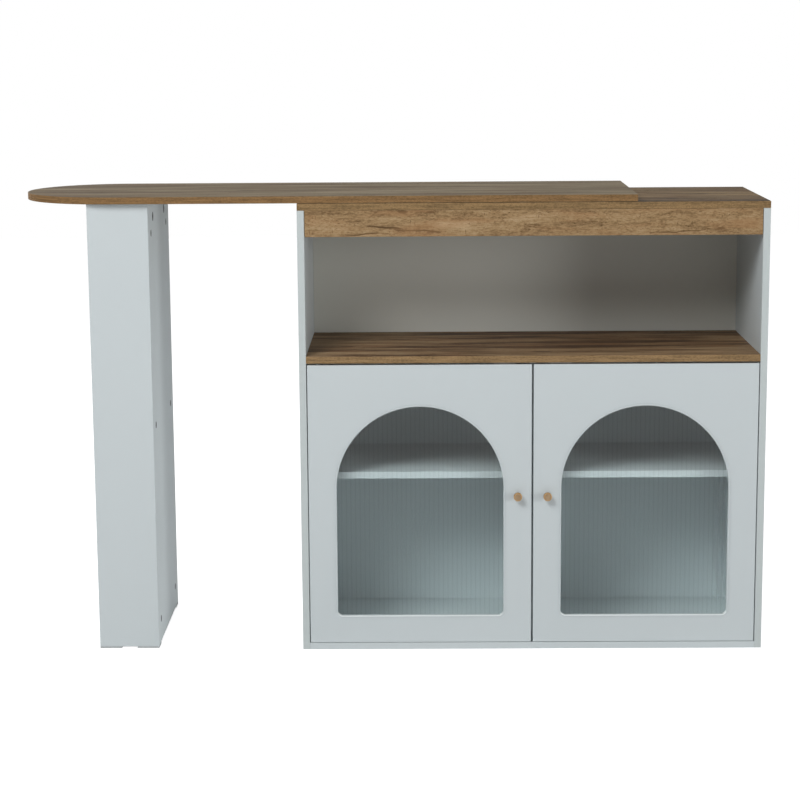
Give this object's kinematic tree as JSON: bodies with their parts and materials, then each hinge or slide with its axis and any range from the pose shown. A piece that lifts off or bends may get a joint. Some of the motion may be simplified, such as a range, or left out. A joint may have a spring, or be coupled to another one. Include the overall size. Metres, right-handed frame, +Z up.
{
  "type": "kitchen island",
  "caption": "Kitchen island: white cabinet with an open bay and two arched reeded-glass doors, and a wood-tone table board on a box leg that swivels on its top.",
  "frame": {"origin": "on the floor at the middle of the cabinet, under the pin that the table turns about", "axes": "+X to the right along the length, +Y to the back, +Z up"},
  "size_m": [1.5999, 0.42, 0.9906],
  "materials": {
    "oak_board": "matt rustic oak grain foil on particle board",
    "white_board": "smooth satin white faced board",
    "reeded_glass": "upright reeded glass, faint grey-green",
    "knob_brass": "brushed warm brass",
    "zinc_cast": "die-cast zinc, dull",
    "nickel_steel": "nickel-plated pressed steel",
    "zinc_steel": "bright zinc-plated steel",
    "white_plastic": "moulded white plastic",
    "clear_plastic": "translucent moulded plastic",
    "beech": "bare fluted beech",
    "nylon": "natural nylon",
    "felt": "pressed grey felt"
  },
  "bodies": {
    "cabinet": {"back_panel_lower": "white_board", "back_panel_upper": "white_board", "bottom_panel": "white_board", "cabinet_cam_bolts": "zinc_steel", "cabinet_cam_locks": "zinc_cast", "cabinet_top": "oak_board", "cabinet_wood_pegs": "beech", "centre_divider": "white_board", "counter_shelf": "oak_board", "front_apron": "oak_board", "hinge_arms": "nickel_steel", "hinge_pins": "nickel_steel", "hinge_plate_screws": "zinc_steel", "hinge_plates": "nickel_steel", "inner_shelf_left": "white_board", "inner_shelf_right": "white_board", "magnet_catch_screws": "zinc_steel", "magnet_catches": "white_plastic", "pivot_bushing": "nylon", "shelf_pins": "zinc_steel", "side_panel_left": "white_board", "side_panel_right": "white_board"},
    "table": {"table_board": "oak_board", "leg_front_panel": "white_board", "leg_rear_panel": "white_board", "leg_side_panel_inner": "white_board", "leg_side_panel_outer": "white_board", "leg_cam_locks": "zinc_cast", "leg_top_cam_locks": "zinc_cast", "leg_cam_bolts": "zinc_steel", "leg_felt_pads": "felt", "pivot_stud": "zinc_steel", "pivot_flange_screws": "zinc_steel", "pivot_washer": "zinc_steel", "pivot_nut": "zinc_steel", "table_glides": "nylon"},
    "left_door": {"left_door_glass": "reeded_glass", "left_door_knob": "knob_brass", "left_door_panel": "white_board", "left_glass_clip_screws": "zinc_steel", "left_glass_clips": "clear_plastic", "left_hinge_cup_screws": "zinc_steel", "left_hinge_cups": "nickel_steel", "left_knob_screw": "zinc_steel", "left_strike_plate": "nickel_steel"},
    "right_door": {"right_door_glass": "reeded_glass", "right_door_knob": "knob_brass", "right_door_panel": "white_board", "right_glass_clip_screws": "zinc_steel", "right_glass_clips": "clear_plastic", "right_hinge_cup_screws": "zinc_steel", "right_hinge_cups": "nickel_steel", "right_knob_screw": "zinc_steel", "right_strike_plate": "nickel_steel"},
    "left_hinge_links": {"left_hinge_links": "nickel_steel"},
    "right_hinge_links": {"right_hinge_links": "nickel_steel"}
  },
  "joints": [
    {"name": "table_swivel", "type": "hinge", "parent": "cabinet", "child": "table", "pos_m": [0, 0, 0.975], "axis": [0, 0, 1], "continuous": true},
    {"name": "left_door_hinge", "type": "hinge", "parent": "cabinet", "child": "left_door", "pos_m": [-0.484, -0.201, 0.3225], "axis": [0, 0, -1], "range_deg": [0, 95]},
    {"name": "right_door_hinge", "type": "hinge", "parent": "cabinet", "child": "right_door", "pos_m": [0.484, -0.201, 0.3225], "axis": [0, 0, 1], "range_deg": [0, 95]},
    {"name": "left_link_pivot", "type": "hinge", "parent": "cabinet", "child": "left_hinge_links", "pos_m": [-0.4725, -0.182, 0.3225], "axis": [0, 0, -1], "range_deg": [0, 51]},
    {"name": "right_link_pivot", "type": "hinge", "parent": "cabinet", "child": "right_hinge_links", "pos_m": [0.4725, -0.182, 0.3225], "axis": [0, 0, 1], "range_deg": [0, 51]}
  ],
  "couplings": [
    {"joint": "left_link_pivot", "follows": "left_door_hinge", "ratio": 0.53},
    {"joint": "right_link_pivot", "follows": "right_door_hinge", "ratio": 0.53}
  ]
}
